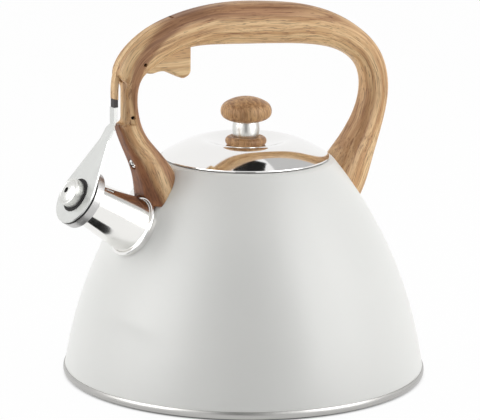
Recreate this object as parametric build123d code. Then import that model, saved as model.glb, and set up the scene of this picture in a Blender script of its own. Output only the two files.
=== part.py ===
"""Stovetop whistling kettle with a wood-look bail handle and a trigger-lifted whistle.

Millimetres, +Z up.  The origin is the middle of the base on the hob, the spout
points towards -X and the handle stands in the plane Y = 0.
"""
from build123d import *
import os
from math import cos, sin, tan, pi, radians, sqrt

# Body and base
BASE_RADIUS = 110.0        # outside of the steel base rim
BASE_RIM_BOTTOM = 1.2
BASE_RIM_HEIGHT = 4.2
FLOOR_UNDERSIDE = 3.4      # underside of the vessel floor above the hob
SHEET = 0.8                # steel sheet of the body, pan, spout and lid
RIM_STEP = 1.1             # painted wall stands this far inside the base rim
BODY_HEIGHT = 133.0        # flat rim around the mouth
SHOULDER_RADIUS = 53.2     # where the wall meets the rounded rim
SHOULDER_DROP = 1.2
WALL_BULGE = 9.4           # the wall arc stands this far off its chord
RIM_FLAT_RADIUS = 51.4
MOUTH_RADIUS = 46.8
NECK_DEPTH = 6.0
SPREADER_RADIUS = 88.0
CAP_SHEET = 0.6

# Spout, square to the wall
SPOUT_DROP = 35.0          # its axis meets the wall this far below the rim
SPOUT_RISE = 31.0          # degrees above level
SPOUT_LENGTH = 41.4
SPOUT_ROOT_RADIUS = 17.1
SPOUT_TIP_RADIUS = 12.7
SPOUT_LIP = 0.7
SPOUT_INSET = 3.4          # the tube reaches this far inside the wall
COLLAR_WIDTH = 1.7
COLLAR_HEIGHT = 2.4
COLLAR_EDGE = 0.6          # straight side of the collar in front of the wall

# Lid and knob
LID_RADIUS = 50.3
LID_EDGE = 1.3             # height of the lid's plain edge
LID_SLOPE = 25.5           # degrees, cone between the edge and the crest
LID_CREST_ROUNDING = 12.0
LID_RISE = 11.0            # crest above the body's rim
LID_DISH = 3.6             # knob seat below the crest
LID_SKIRT_RADIUS = 45.9
LID_SKIRT_DEPTH = 8.5
ROSETTE_RADIUS = 12.4
ROSETTE_HEIGHT = 4.6
ROSETTE_WAIST = 1.9        # widest ring above the lid
ROSETTE_TUCK = 1.6
ROSETTE_LEDGE = 0.8        # rosette's top past the ferrule
FERRULE_RADIUS = 7.5
FERRULE_SWELL = 0.7
FERRULE_HEIGHT = 10.0
KNOB_RADIUS = 15.4
KNOB_HEIGHT = 14.7
KNOB_WAIST = 6.0           # widest ring above the knob's underside
KNOB_NECK_RADIUS = 9.2
KNOB_FLARE = 19.0          # degrees, slope of the underside at the neck
KNOB_ROUNDING = 6.0        # rounded edge between the knob's waist and its crown
KNOB_SCREW_RADIUS = 2.4
KNOB_SCREW_BITE = 8.0
WASHER_RADIUS = 8.0
WASHER_SHEET = 1.0

# Handle: depth is in the plane of the arch, width across it
GRIP_TOP = 94.2            # top of the grip above the rim
GRIP_DEPTH = 24.1
GRIP_WIDTH = 21.0
LEG_WIDTH = 16.5
FRONT_LEG_DEPTH = 12.6
REAR_LEG_DEPTH = 17.2
REAR_LEG_WIDTH = 16.8
FOOT_WIDTH = 30.0
FRONT_FOOT_DEPTH = 21.6
REAR_FOOT_DEPTH = 26.0
SECTION_ROUNDING = 0.42    # corner radius as a share of the smaller side
FRONT_FOOT_DROP = 21.0     # lower end of the front foot below the rim
RECESS_DEPTH = 7.4         # open cut in front of the leg, behind the lever
RECESS_ROUNDING = 6.5      # rounded front of the leg in the cut
RECESS_SPREAD = 0.3        # the rounding would end this far outside the leg's sides
RECESS_PAST_LEVER = 1.0    # full depth of the cut above the lever's end
RECESS_RUNOUT = 14.0       # the cut slopes out over this height
LEDGE_DROP = 0.6           # foot of the cut below the arm's bend

# Whistle lever and trigger
LEVER_WIDTH = 4.5
LEVER_THICKNESS = 2.8
LEVER_LUG = 3.0
LEVER_TAIL = 2.2           # lever behind its axis
LEVER_HEEL = 2.0           # lever's underside below its axis
LEVER_BOSS_RADIUS = 3.4
LEVER_SLANT = 1.5          # the wood look ends on a slant
LEVER_PIN_LENGTH = 13.0
TAIL_ROOM = 1.6            # round the lever's tail and boss in the channel
CHANNEL_STRAIGHT = 24.0    # upright part of the channel's floor
CHANNEL_FLOOR = [(-5.8, 0.9), (2.2, 6.9), (12.2, 6.9)]  # rest of it, from the trigger's axis
LEVER_MARGIN = 10.0        # the lever is cut from a strip this far proud of its front
PEG_LENGTH = 6.0
PEG_WIDTH = 2.6
PEG_SHEET = 1.2
LEVER_PER_TRIGGER = 0.8
TRIGGER_WIDTH = 10.0
TRIGGER_BOSS_RADIUS = 4.2
TRIGGER_NOSE_RADIUS = 2.0
TRIGGER_REACH = 33.5       # trigger axis to the trigger's back face
TRIGGER_CHIN = (6.0, -7.2, 10.0)       # along and up from the trigger axis, rounding
FINGER_HOLLOW = (15.0, -5.1, 12.0)
SPUR_WIDTH = 5.0           # spur in front of the back face
SPUR_DROP = 11.4           # tip of the spur below the trigger axis
SPUR_HEEL = 8.9            # lower edge of the back face below the trigger axis
SPUR_ROUNDING = 4.0
TRIGGER_CREST = 16.5       # front of the flat top behind the trigger axis
TRIGGER_STEP = (9.5, 3.5)  # foot of the slope in front of the flat top
TRIGGER_TOP = 8.9          # top of the trigger above its axis
TRIGGER_ROUNDING = 2.2
SLOT_ROOF = 18.5           # top of the trigger's slot above its axis
SLOT_FRONT = ((-3.4, -3.5), (1.7, -12.1))  # slanted front of the slot, from the trigger's axis
SLOT_CEILING = [(27.0, 0.0), (22.0, 2.1), (14.2, 5.1), (4.2, 10.6), (-1.8, 14.0)]  # along, below the roof
SLOT_BACK_ROOM = 0.5
BOSS_ROOM = 0.6
TRIGGER_PLACE = (-2.8, -4.95)  # axis from the middle of the front bend
LEVER_PLACE = (-1.15, 5.75)    # axis from the middle of the next section
LEG_PIN_PLACE = (0.9, 2.2)     # cross pin from the middle of the front leg
PIN_RADIUS = 1.1
PIN_RECESS = 2.5           # the pin ends stop well below the sides
SPRING_RADIUS = 2.3
SPRING_WIRE = 0.6
SPRING_TURNS = 6
SPRING_POCKET = 5.5
SPRING_PLACE = 27.7        # trigger axis to the spring

# Whistle
ARM_SHEET = 1.0
ARM_PLATE_RADIUS = 17.5
ARM_HALF_WIDTH = 4.6
ARM_WAIST = 10.0           # even stretch of the strip starts this far below the bend
ARM_FLARE = 3.0            # flare to the sleeve starts this far below the bend
ARM_FLANK = 0.35           # where the strip leaves the plate, as a share of its radius
SLEEVE_LENGTH = 9.9
SLEEVE_WIDTH = 5.2
SLEEVE_PROUD = 0.3         # sleeve in front of the lever
SLEEVE_DEPTH = 2.4
SLEEVE_FOOT = 2.0          # lower end of the sleeve's cheeks above the bend
CHEEK_SHEET = 0.7
TONGUE_WIDTH = 3.8
TONGUE_SHOWING = 5.9       # bare black stretch between the sleeve and the lever
CAP_RADIUS = 17.9
CAP_SKIRT = 4.0
CAP_PLATE = 1.0
STEAM_HOLE = 6.0           # radius of the hole through the cap and the gasket
GASKET_SHEET = 1.0
GASKET_INSET = 0.7
WHISTLE_RADIUS = 8.5
WHISTLE_LENGTH = 5.8       # barrel in front of the arm plate
WHISTLE_CROWN = 1.8
WHISTLE_ROUNDING = 0.6
CROWN_FULLNESS = 0.75      # height of the crown halfway in, as a share
WHISTLE_HOLE = 1.8
GROMMET_WALL = 1.9
GROMMET_PROUD = 0.4

# Fixings
BRACKET_SHEET = 2.5
BRACKET_WIDTH = 10.0
BRACKET_FOOT_RADIUS = 8.5
BRACKET_FOOT_SHEET = 1.6
BRACKET_PAST_PIN = 4.0     # front tongue above its cross pin
SCREW_RADIUS = 1.9
SCREW_HEAD_RADIUS = 3.4
SCREW_HEAD_HEIGHT = 2.4
SCREW_HEAD_DEPTH = 1.0     # head face below the leg's surface
SCREW_BITE = 3.0           # thread past the bracket

# Clearances
FIT = 0.05                 # between fixed pieces
SEAT = 0.35                # between a moving piece and what it rests on
SLIDE = 0.3                # each side of the trigger in its slot
LEVER_SLIDE = 0.4          # each side of the lever in its channel
PIN_FIT = 0.05

WALL_BOTTOM = BASE_RIM_BOTTOM + BASE_RIM_HEIGHT
WALL_BOTTOM_RADIUS = BASE_RADIUS - RIM_STEP
SHOULDER_HEIGHT = BODY_HEIGHT - SHOULDER_DROP
FLOOR = FLOOR_UNDERSIDE + SHEET
SPOUT_HEIGHT = BODY_HEIGHT - SPOUT_DROP


def wall_arc():
    """Centre and radius of the wall's arc, from its chord and its bulge."""
    run = SHOULDER_RADIUS - WALL_BOTTOM_RADIUS
    rise = SHOULDER_HEIGHT - WALL_BOTTOM
    chord = sqrt(run**2 + rise**2)
    radius = (chord**2 / 4 + WALL_BULGE**2) / (2 * WALL_BULGE)
    back = radius - WALL_BULGE
    middle = ((SHOULDER_RADIUS + WALL_BOTTOM_RADIUS) / 2, (SHOULDER_HEIGHT + WALL_BOTTOM) / 2)
    return (middle[0] - back * rise / chord, middle[1] + back * run / chord), radius


WALL_CENTER, WALL_RADIUS = wall_arc()


def wall_radius(height, proud=0.0):
    """Radius of the body's outside at a height, or of a surface proud of it."""
    return WALL_CENTER[0] + sqrt((WALL_RADIUS + proud)**2 - (height - WALL_CENTER[1])**2)


def flat(x, z):
    """A point of the plane of the handle."""
    return Vector(x, 0, z)


def slab(face, width):
    """Solid of an outline in the plane of the handle, half its width on each side."""
    return extrude(Pos(0, -width / 2, 0) * face, width, dir=(0, 1, 0))


def turned(*edges):
    """Solid of revolution about Z from the edges of a closed outline."""
    return revolve(Face(Wire(list(edges))), Axis.Z)


def path(*points):
    """Straight edges through points of the plane of the handle."""
    return Polyline(*[flat(*point) for point in points]).edges()


def swell(radius, bottom, top, out):
    """Arc that bulges outwards between two heights at one radius."""
    return ThreePointArc(flat(radius, bottom), flat(radius + out, (bottom + top) / 2), flat(radius, top))


def rod(start, end, radius):
    """Round bar between two points."""
    return Solid.make_cylinder(radius, (end - start).length, Plane(origin=start, z_dir=end - start))


# Spout axis: distances along it are measured from the wall
SPOUT_ROOT = flat(-wall_radius(SPOUT_HEIGHT), SPOUT_HEIGHT)
SPOUT_OUT = flat(-cos(radians(SPOUT_RISE)), sin(radians(SPOUT_RISE)))
SPOUT_UP = flat(sin(radians(SPOUT_RISE)), cos(radians(SPOUT_RISE)))


def spout_point(radius, along):
    """A point of the plane of the handle, given above the spout axis and along it."""
    return SPOUT_ROOT + SPOUT_UP * radius + SPOUT_OUT * along


def spout_turned(*points):
    """Solid of revolution about the spout axis from points (radius, distance)."""
    corners = [spout_point(*point) for point in points]
    return revolve(Face(Wire.make_polygon(corners, close=True)), Axis(SPOUT_ROOT, SPOUT_OUT))


def spout_radius(along):
    """Outside radius of the spout tube at a distance from the wall."""
    return SPOUT_ROOT_RADIUS + (SPOUT_TIP_RADIUS - SPOUT_ROOT_RADIUS) * along / SPOUT_LENGTH


# Distances along the spout axis of the stacked whistle pieces
CAP_FACE = SPOUT_LENGTH + SPOUT_LIP + SEAT
GASKET_FACE = CAP_FACE + CAP_PLATE
PLATE_BACK = GASKET_FACE + GASKET_SHEET
PLATE_FRONT = PLATE_BACK + ARM_SHEET
PLATE_CENTER = SPOUT_ROOT + SPOUT_OUT * PLATE_BACK


def envelope(proud):
    """Everything within the body's outside, grown by a clearance."""
    bottom = (wall_radius(WALL_BOTTOM, proud), WALL_BOTTOM)
    shoulder = (wall_radius(SHOULDER_HEIGHT, proud), SHOULDER_HEIGHT)
    middle_height = (WALL_BOTTOM + SHOULDER_HEIGHT) / 2
    middle = (wall_radius(middle_height, proud), middle_height)
    arc = ThreePointArc(flat(*bottom), flat(*middle), flat(*shoulder))
    rim = path(shoulder, (RIM_FLAT_RADIUS, BODY_HEIGHT + proud), (0, BODY_HEIGHT + proud), (0, 0),
               (bottom[0], 0), bottom)
    return turned(arc, *rim)


def body_shell():
    """Painted bell-shaped wall with a rounded rim, a turned-in neck and a hole for the spout."""
    heights = (WALL_BOTTOM, (WALL_BOTTOM + SHOULDER_HEIGHT) / 2, SHOULDER_HEIGHT)
    inside = [(wall_radius(height, -SHEET), height) for height in heights]
    outside = [(wall_radius(height), height) for height in heights]
    outer_arc = ThreePointArc(*[flat(*point) for point in outside])
    inner_arc = ThreePointArc(*[flat(*point) for point in inside])
    under = BODY_HEIGHT - SHEET
    top = path(outside[2], (RIM_FLAT_RADIUS, BODY_HEIGHT), (MOUTH_RADIUS, BODY_HEIGHT),
               (MOUTH_RADIUS, BODY_HEIGHT - NECK_DEPTH), (MOUTH_RADIUS + SHEET, BODY_HEIGHT - NECK_DEPTH),
               (MOUTH_RADIUS + SHEET, under), (RIM_FLAT_RADIUS - SHEET / 2, under), inside[2])
    shell = turned(outer_arc, *top, inner_arc, *path(inside[0], outside[0]))
    ends = (-SPOUT_INSET - 1, SPOUT_LENGTH / 2)
    hole = [(spout_radius(end) + FIT, end) for end in ends]
    return shell - spout_turned((0, ends[0]), *hole, (0, ends[1]))


def base_pan():
    """Steel floor with a round-edged rim that carries the painted wall."""
    inner = wall_radius(WALL_BOTTOM, -SHEET) - FIT
    bead = BASE_RIM_HEIGHT / 2
    edge = swell(BASE_RADIUS - RIM_STEP / 2, BASE_RIM_BOTTOM, WALL_BOTTOM, RIM_STEP / 2)
    lip = WALL_BOTTOM + bead
    lip_radius = wall_radius(lip, -SHEET) - FIT
    rest = path((BASE_RADIUS - RIM_STEP / 2, WALL_BOTTOM), (inner, WALL_BOTTOM), (lip_radius, lip),
                (lip_radius - SHEET, lip), (inner - SHEET, FLOOR), (0, FLOOR), (0, FLOOR_UNDERSIDE),
                (inner - 2 * SHEET, FLOOR_UNDERSIDE), (inner - SHEET, BASE_RIM_BOTTOM),
                (BASE_RADIUS - RIM_STEP / 2, BASE_RIM_BOTTOM))
    return turned(edge, *rest)


def heat_spreader():
    """Aluminium disc between the floor and the base cap."""
    return Pos(0, 0, CAP_SHEET) * extrude(Circle(SPREADER_RADIUS), FLOOR_UNDERSIDE - CAP_SHEET)


def base_cap():
    """Pressed steel cap under the spreader, the face the kettle stands on."""
    outside = SPREADER_RADIUS + FIT + CAP_SHEET
    cup = extrude(Circle(outside), FLOOR_UNDERSIDE) - Pos(0, 0, CAP_SHEET) * extrude(
        Circle(SPREADER_RADIUS + FIT), FLOOR_UNDERSIDE)
    return fillet(cup.edges().group_by(Axis.Z)[0], CAP_SHEET * 0.8)


def spout_tube():
    """Tapered steel spout with a lip at its mouth, let through the wall."""
    root = spout_radius(-SPOUT_INSET)
    tip = SPOUT_TIP_RADIUS
    lip = tip + SPOUT_LIP
    return spout_turned((root, -SPOUT_INSET), (tip, SPOUT_LENGTH - SPOUT_LIP), (lip, SPOUT_LENGTH),
                        (lip, SPOUT_LENGTH + SPOUT_LIP), (tip - SHEET, SPOUT_LENGTH + SPOUT_LIP),
                        (root - SHEET, -SPOUT_INSET))


def spout_collar():
    """Rounded trim ring where the spout leaves the wall."""
    foot = -SPOUT_INSET
    outer = SPOUT_ROOT_RADIUS + COLLAR_WIDTH
    inner_top = spout_radius(COLLAR_EDGE) + FIT
    middle = (outer + inner_top) / 2
    bead = ThreePointArc(spout_point(outer, COLLAR_EDGE), spout_point(middle, COLLAR_HEIGHT),
                         spout_point(inner_top, COLLAR_EDGE))
    rest = Polyline(spout_point(inner_top, COLLAR_EDGE), spout_point(spout_radius(foot) + FIT, foot),
                    spout_point(outer, foot), spout_point(outer, COLLAR_EDGE))
    ring = revolve(Face(Wire([bead, *rest.edges()])), Axis(SPOUT_ROOT, SPOUT_OUT))
    return ring - envelope(FIT)


# Handle arch: x and height above the rim of each section's middle, its depth and its width
GRIP_MIDDLE = GRIP_TOP - GRIP_DEPTH / 2
FRONT_STATIONS = [
    (-56.0, -29.6, FRONT_FOOT_DEPTH + 1, FOOT_WIDTH),
    (-61.8, -14.6, FRONT_FOOT_DEPTH, FOOT_WIDTH),
    (-70.8, 7.0, FRONT_LEG_DEPTH + 4.3, LEG_WIDTH + 3.6),
    (-77.3, 17.5, FRONT_LEG_DEPTH + 1.2, LEG_WIDTH + 1.0),
    (-82.1, 30.0, FRONT_LEG_DEPTH + 1.2, LEG_WIDTH),
    (-83.8, 45.0, FRONT_LEG_DEPTH + 2.4, LEG_WIDTH),
    (-80.2, 59.5, FRONT_LEG_DEPTH + 5.3, LEG_WIDTH + 1.5),
    (-71.4, GRIP_MIDDLE - 14.1, GRIP_DEPTH - 4.0, GRIP_WIDTH - 2.0),
    (-53.85, GRIP_MIDDLE - 4.9, GRIP_DEPTH - 3.85, GRIP_WIDTH - 0.5),
    (-19.0, GRIP_MIDDLE, GRIP_DEPTH, GRIP_WIDTH),
]
REAR_STATIONS = [
    (14.0, GRIP_MIDDLE - 1.5, GRIP_DEPTH + 0.9, GRIP_WIDTH),
    (45.5, GRIP_MIDDLE - 5.65, GRIP_DEPTH - 1.3, GRIP_WIDTH - 0.5),
    (72.9, GRIP_MIDDLE - 16.3, REAR_LEG_DEPTH + 0.8, REAR_LEG_WIDTH + 1.2),
    (86.4, 53.2, REAR_LEG_DEPTH - 0.6, REAR_LEG_WIDTH + 0.4),
    (91.2, 37.0, REAR_LEG_DEPTH, REAR_LEG_WIDTH),
    (87.5, 17.0, REAR_LEG_DEPTH + 1.3, REAR_LEG_WIDTH + 1.5),
    (77.9, -3.0, REAR_FOOT_DEPTH - 4.0, FOOT_WIDTH - 5.0),
    (68.2, -19.6, REAR_FOOT_DEPTH + 2.4, FOOT_WIDTH),
    (61.8, -32.0, REAR_FOOT_DEPTH + 2.4, FOOT_WIDTH),
]
STATIONS = FRONT_STATIONS + REAR_STATIONS
ARCH = Spline(*[flat(x, BODY_HEIGHT + rise) for x, rise, depth, width in STATIONS])


def station_plane(number):
    """Plane square to the arch at a station, its local x across the handle."""
    x, rise, depth, width = STATIONS[number]
    middle = flat(x, BODY_HEIGHT + rise)
    along = ARCH.tangent_at(ARCH.param_at_point(middle))
    return Plane(origin=middle, x_dir=(0, 1, 0), z_dir=along)


def handle_blank():
    """The moulded arch before its recesses: rounded sections along the arch."""
    sections = []
    for number, (x, rise, depth, width) in enumerate(STATIONS):
        rounding = SECTION_ROUNDING * min(depth, width)
        sections.append(station_plane(number) * RectangleRounded(width, depth, rounding))
    return loft(sections)


def station_point(number, proud=0.0):
    """Point on the outer side of the arch at a station, or proud of it."""
    return station_plane(number).from_local_coords(Vector(0, STATIONS[number][2] / 2 + proud))


# Mechanism points in the plane of the handle
SHOULDER = 7               # station at the front bend of the arch
TRIGGER_AXIS = station_plane(SHOULDER).origin + flat(*TRIGGER_PLACE)
LEVER_AXIS = station_plane(SHOULDER + 1).origin + flat(*LEVER_PLACE)
LEG_PIN = station_plane(4).origin + flat(*LEG_PIN_PLACE)
LEVER_FRONT = station_point(5).X
RECESS_FLOOR = LEVER_FRONT + RECESS_DEPTH
SLEEVE_FRONT = LEVER_FRONT - SLEEVE_PROUD
CENTRES = LEVER_AXIS - TRIGGER_AXIS
TOWARDS_LEVER = CENTRES.normalized()
OPENING_SIDE = flat(-TOWARDS_LEVER.Z, TOWARDS_LEVER.X)
NOSE_REACH = CENTRES.length * LEVER_PER_TRIGGER / (1 + LEVER_PER_TRIGGER)


def plane_height(along, x):
    """Height at which a plane square to the spout meets an upright line at x."""
    return SPOUT_ROOT.Z + (along - (x - SPOUT_ROOT.X) * SPOUT_OUT.X) / SPOUT_OUT.Z


ARM_BEND = plane_height(PLATE_FRONT, SLEEVE_FRONT)
SLEEVE_TOP = ARM_BEND + SLEEVE_LENGTH
LEVER_END = SLEEVE_TOP + TONGUE_SHOWING
LEDGE = ARM_BEND - LEDGE_DROP


def outline(*points):
    """Closed straight-sided outline through vectors in the plane of the handle."""
    return Face(Wire.make_polygon(points, close=True))


def from_trigger(dx, dz):
    """A point given from the trigger's axis."""
    return TRIGGER_AXIS + flat(dx, dz)


def from_lever(dx, dz):
    """A point given from the lever's axis."""
    return LEVER_AXIS + flat(dx, dz)


def cross_rod(point, radius, width):
    """Round bar across the handle, centred on its plane."""
    half = Vector(0, width / 2, 0)
    return rod(point - half, point + half, radius)


def open_recess():
    """Cut round the front of the leg, so that the lever's end and the arm stand free."""
    top = LEVER_END + RECESS_PAST_LEVER
    tip = top + RECESS_RUNOUT
    outside = LEVER_FRONT - FOOT_WIDTH
    inside = RECESS_FLOOR + RECESS_ROUNDING
    face = outline(flat(outside, LEDGE), flat(inside, LEDGE), flat(inside, top),
                   flat(LEVER_FRONT - SEAT, tip), flat(outside, tip))
    section = RectangleRounded(FOOT_WIDTH, LEG_WIDTH + 2 * RECESS_SPREAD, RECESS_ROUNDING)
    low = LEDGE - SEAT
    column = Pos(RECESS_FLOOR + FOOT_WIDTH / 2, 0, low) * extrude(section, tip + SEAT - low)
    return slab(face, 2 * FOOT_WIDTH) - column


def lever_channel():
    """Narrow channel along the outside of the front bend, open to the trigger's slot."""
    outside = LEVER_FRONT - FOOT_WIDTH
    above = GRIP_DEPTH
    end = LEVER_TAIL + TAIL_ROOM
    floor = [from_trigger(*point) for point in CHANNEL_FLOOR]
    face = outline(flat(outside, LEDGE), flat(RECESS_FLOOR, LEDGE),
                   flat(RECESS_FLOOR, LEDGE + CHANNEL_STRAIGHT), *floor,
                   from_lever(end, -LEVER_BOSS_RADIUS - TAIL_ROOM), from_lever(end, above),
                   flat(outside, LEVER_AXIS.Z + above))
    return slab(face, LEVER_WIDTH + 2 * LEVER_SLIDE)


def trigger_slot():
    """Slot in the underside of the front bend for the trigger and its travel."""
    back = TRIGGER_REACH + SLOT_BACK_ROOM
    below = -TRIGGER_REACH
    roof = [from_trigger(x, SLOT_ROOF - drop) for x, drop in SLOT_CEILING]
    front, chin = SLOT_FRONT
    face = outline(from_trigger(*front), from_trigger(*chin), from_trigger(chin[0], below),
                   from_trigger(back, below), from_trigger(back, SLOT_ROOF), *roof)
    width = TRIGGER_WIDTH + 2 * SLIDE
    return slab(face, width) + cross_rod(TRIGGER_AXIS, TRIGGER_BOSS_RADIUS + BOSS_ROOM, width)


TONGUE_HEAD = LEG_PIN + flat(BRACKET_SHEET / 2, 0)   # the cross pin lies in a notch of the tongue's face
FRONT_AXIS = (TONGUE_HEAD - station_plane(1).origin).normalized()
REAR_AXIS = (station_plane(-4).origin - station_plane(-2).origin).normalized()


def spout_clearance():
    """Room for the spout and its collar in the front foot."""
    reach = SPOUT_OUT * (SPOUT_LENGTH / 2)
    return rod(SPOUT_ROOT - reach, SPOUT_ROOT + reach, SPOUT_ROOT_RADIUS + COLLAR_WIDTH + SEAT)


def below_foot():
    """Everything in front of the kettle's middle that lies lower than the front foot."""
    drop = BODY_HEIGHT - FRONT_FOOT_DROP
    face = outline(flat(0, 0), flat(0, drop), flat(-2 * BASE_RADIUS, drop), flat(-2 * BASE_RADIUS, 0))
    return slab(face, 2 * FOOT_WIDTH)


def bracket_blank(foot, axis, length, grow):
    """Upright tongue on a round foot that lies on the shoulder, grown by a clearance."""
    plane = Plane(origin=foot - axis * FOOT_WIDTH, x_dir=(0, 1, 0), z_dir=axis)
    section = Rectangle(BRACKET_WIDTH + 2 * grow, BRACKET_SHEET + 2 * grow)
    tongue = extrude(plane * section, length + FOOT_WIDTH + grow)
    side = 1 if foot.X > 0 else -1
    centre = flat(side * WALL_CENTER[0], WALL_CENTER[1])
    on_wall = flat(side * wall_radius(foot.Z), foot.Z)
    normal = (on_wall - centre).normalized()
    front = on_wall + normal * (BRACKET_FOOT_SHEET + grow)
    plate = rod(on_wall - normal * BRACKET_FOOT_RADIUS, front, BRACKET_FOOT_RADIUS + grow)
    return tongue + plate - envelope(FIT) - spout_clearance()


def front_tongue(grow=0.0):
    """Front bracket without its holes."""
    length = (TONGUE_HEAD - station_plane(1).origin).length + BRACKET_PAST_PIN
    return bracket_blank(station_plane(1).origin, FRONT_AXIS, length, grow)


def rear_tongue(grow=0.0):
    """Rear bracket without its holes."""
    length = (station_plane(-4).origin - station_plane(-2).origin).length
    return bracket_blank(station_plane(-2).origin, REAR_AXIS, length, grow)


def screw_line(station):
    """Outer surface point and inward direction of a leg's fixing screw."""
    plane = station_plane(station)
    return station_point(station), plane.y_dir * -1


def fixing_screw(station, grow=0.0, head_out=0.0):
    """Round-headed screw through a leg into its bracket, grown by a clearance for its hole."""
    surface, inward = screw_line(station)
    seat = surface + inward * (SCREW_HEAD_DEPTH + SCREW_HEAD_HEIGHT)
    head = rod(surface + inward * SCREW_HEAD_DEPTH - inward * head_out, seat, SCREW_HEAD_RADIUS + grow)
    reach = STATIONS[station][2] / 2 + BRACKET_SHEET + SCREW_BITE + grow
    return head + rod(seat - inward, surface + inward * reach, SCREW_RADIUS + grow)


FRONT_SCREW = 2            # stations that carry the fixing screws
REAR_SCREW = -4


def handle():
    """Moulded arch with feet shaped to the shoulder and room for the lever and the trigger."""
    arch = handle_blank() - envelope(FIT)
    arch -= open_recess() + lever_channel() + trigger_slot()
    arch -= spout_clearance() + below_foot()
    arch -= front_tongue(2 * FIT) + rear_tongue(2 * FIT)
    arch -= fixing_screw(FRONT_SCREW, 2 * FIT, FOOT_WIDTH) + fixing_screw(REAR_SCREW, 2 * FIT, FOOT_WIDTH)
    arch -= cross_rod(TRIGGER_AXIS, PIN_RADIUS + PIN_FIT, 2 * FOOT_WIDTH)
    arch -= cross_rod(LEG_PIN, PIN_RADIUS + PIN_FIT, 2 * FOOT_WIDTH)
    inset = Vector(0, -LEVER_PIN_LENGTH / 2 - PIN_FIT, 0)
    arch -= rod(LEVER_AXIS + inset, LEVER_AXIS + Vector(0, FOOT_WIDTH, 0), PIN_RADIUS + PIN_FIT)
    return arch


def front_bracket():
    """Steel tongue and foot that carry the front leg, held by a screw and a notch for the cross pin."""
    pin_hole = cross_rod(LEG_PIN, PIN_RADIUS + PIN_FIT, FOOT_WIDTH)
    return front_tongue() - fixing_screw(FRONT_SCREW, FIT) - pin_hole


def rear_bracket():
    """Steel tongue and foot that carry the rear leg."""
    return rear_tongue() - fixing_screw(REAR_SCREW, FIT)


def pin_across(point, station):
    """Cross pin whose ends stop just below the sides of the handle."""
    return cross_rod(point, PIN_RADIUS, STATIONS[station][3] - 2 * PIN_RECESS)


def lever_pin():
    """Hidden hinge pin of the whistle lever."""
    return cross_rod(LEVER_AXIS, PIN_RADIUS, LEVER_PIN_LENGTH)


def trigger():
    """Finger trigger: hollowed underside, rounded spur, boss on its pin, nose that lifts the lever."""
    spur = (TRIGGER_REACH - SPUR_WIDTH, -SPUR_DROP, SPUR_ROUNDING)
    heel = (TRIGGER_REACH, -SPUR_HEEL, SPUR_ROUNDING)
    under = [TRIGGER_CHIN, FINGER_HOLLOW, spur, heel]
    face = outline(from_trigger(0, -TRIGGER_BOSS_RADIUS), *[from_trigger(x, z) for x, z, rounding in under],
                   from_trigger(TRIGGER_REACH, TRIGGER_TOP), from_trigger(TRIGGER_CREST, TRIGGER_TOP),
                   from_trigger(*TRIGGER_STEP), from_trigger(0, TRIGGER_BOSS_RADIUS))
    for x, z, rounding in under:
        face = face.fillet_2d(rounding, face.vertices().sort_by_distance(from_trigger(x, z))[:1])
    body = slab(face, TRIGGER_WIDTH)
    sides = body.edges().filter_by(lambda edge: abs(edge.center().Y) > TRIGGER_WIDTH / 2 - FIT)
    low = sides.filter_by(lambda edge: edge.center().Z < TRIGGER_AXIS.Z - TRIGGER_BOSS_RADIUS / 2)
    body = fillet(low, TRIGGER_ROUNDING)
    root = TRIGGER_AXIS - OPENING_SIDE * (TRIGGER_NOSE_RADIUS + SEAT / 2)
    tip = root + TOWARDS_LEVER * NOSE_REACH
    across = OPENING_SIDE * TRIGGER_NOSE_RADIUS
    nose = slab(outline(root + across, tip + across, tip - across, root - across), LEVER_WIDTH)
    nose += cross_rod(tip, TRIGGER_NOSE_RADIUS, LEVER_WIDTH)
    boss = cross_rod(TRIGGER_AXIS, TRIGGER_BOSS_RADIUS, TRIGGER_WIDTH)
    floor = from_trigger(SPRING_PLACE, TRIGGER_TOP - SPRING_POCKET)
    pocket = rod(floor, floor + flat(0, 2 * SPRING_POCKET), SPRING_RADIUS + SPRING_WIRE)
    return body + boss + nose - pocket - cross_rod(TRIGGER_AXIS, PIN_RADIUS + PIN_FIT, FOOT_WIDTH)


def coil_path(foot, height):
    """Quarter-turn biarcs along the spring's helix, from its foot upwards."""
    def point(angle):
        return foot + Vector(SPRING_RADIUS * cos(angle), SPRING_RADIUS * sin(angle),
                             height * angle / (2 * pi * SPRING_TURNS))

    def heading(angle):
        climb = height / (2 * pi * SPRING_TURNS)
        return Vector(-SPRING_RADIUS * sin(angle), SPRING_RADIUS * cos(angle), climb).normalized()

    arcs = []
    for quarter in range(4 * SPRING_TURNS):
        start, end = point(quarter * pi / 2), point((quarter + 1) * pi / 2)
        out, into = heading(quarter * pi / 2), heading((quarter + 1) * pi / 2)
        step = end - start
        square = 2 * (1 - out.dot(into))
        linear = 2 * step.dot(out + into)
        reach = (-linear + sqrt(linear**2 + 4 * square * step.dot(step))) / (2 * square)
        middle = (start + end + (out - into) * reach) * 0.5
        arcs.append(Edge.make_tangent_arc(start, out, middle))
        arcs.append(Edge.make_tangent_arc(middle, end - into * reach - start - out * reach, end))
    return Wire(arcs)


def least_gap(coil):
    """Least gap of the spring's wire to itself, on points at least half a turn apart."""
    steps = 48 * SPRING_TURNS
    points = coil.positions([step / steps for step in range(steps + 1)])
    apart = steps // (2 * SPRING_TURNS)
    pairs = [(a, b) for a in range(steps) for b in range(a + apart, steps + 1)]
    return min((points[b] - points[a]).length for a, b in pairs) - SPRING_WIRE


def return_spring():
    """Coil spring between the trigger and the roof of its slot."""
    foot = from_trigger(SPRING_PLACE, TRIGGER_TOP - SPRING_POCKET + SPRING_WIRE)
    height = SLOT_ROOF - TRIGGER_TOP + SPRING_POCKET - 2 * SPRING_WIRE
    coil = coil_path(foot, height)
    print("least gap of the spring to itself", round(least_gap(coil), 2))
    section = Plane(origin=coil @ 0, z_dir=coil % 0) * Circle(SPRING_WIRE / 2)
    return sweep(section, path=coil)


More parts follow.
